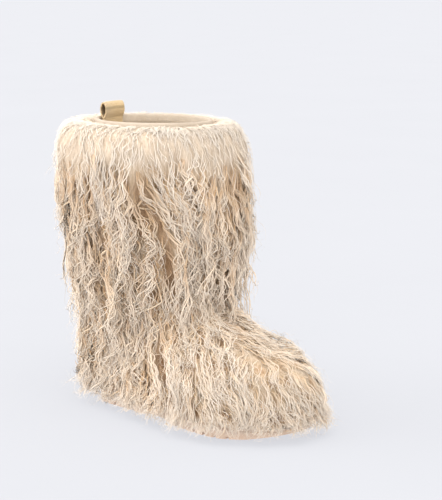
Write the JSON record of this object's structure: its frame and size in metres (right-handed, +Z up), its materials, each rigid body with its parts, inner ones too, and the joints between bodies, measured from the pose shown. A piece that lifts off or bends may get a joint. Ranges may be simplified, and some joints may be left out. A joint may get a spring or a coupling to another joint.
{
  "type": "mukluk boot",
  "caption": "Right pull-on winter boot of long curly sheepskin, mid-calf height, rolled collar, pull loop at the back and a low ribbed rubber sole.",
  "frame": {"origin": "on the floor under the middle of the heel", "axes": "+X to the toe, +Y to the inner (medial) side of the right foot, +Z up"},
  "size_m": [0.3216, 0.189, 0.304],
  "materials": {
    "sole_rubber": "matt pinkish-tan moulded rubber with straight treads and a groove round its side",
    "insole_felt": "short cream pile over a soft felt footbed",
    "hide": "soft suede hide with a short cream pile on the inside",
    "binding": "soft rolled cream edge strip",
    "tape": "woven khaki cotton tape, matt",
    "fleece": "long curly cream fleece, darker tan at its roots"
  },
  "bodies": {
    "root": {"outsole": "sole_rubber", "insole": "insole_felt", "upper": "hide", "collar_binding": "binding", "pull_loop": "tape", "fur": "fleece"}
  },
  "joints": []
}
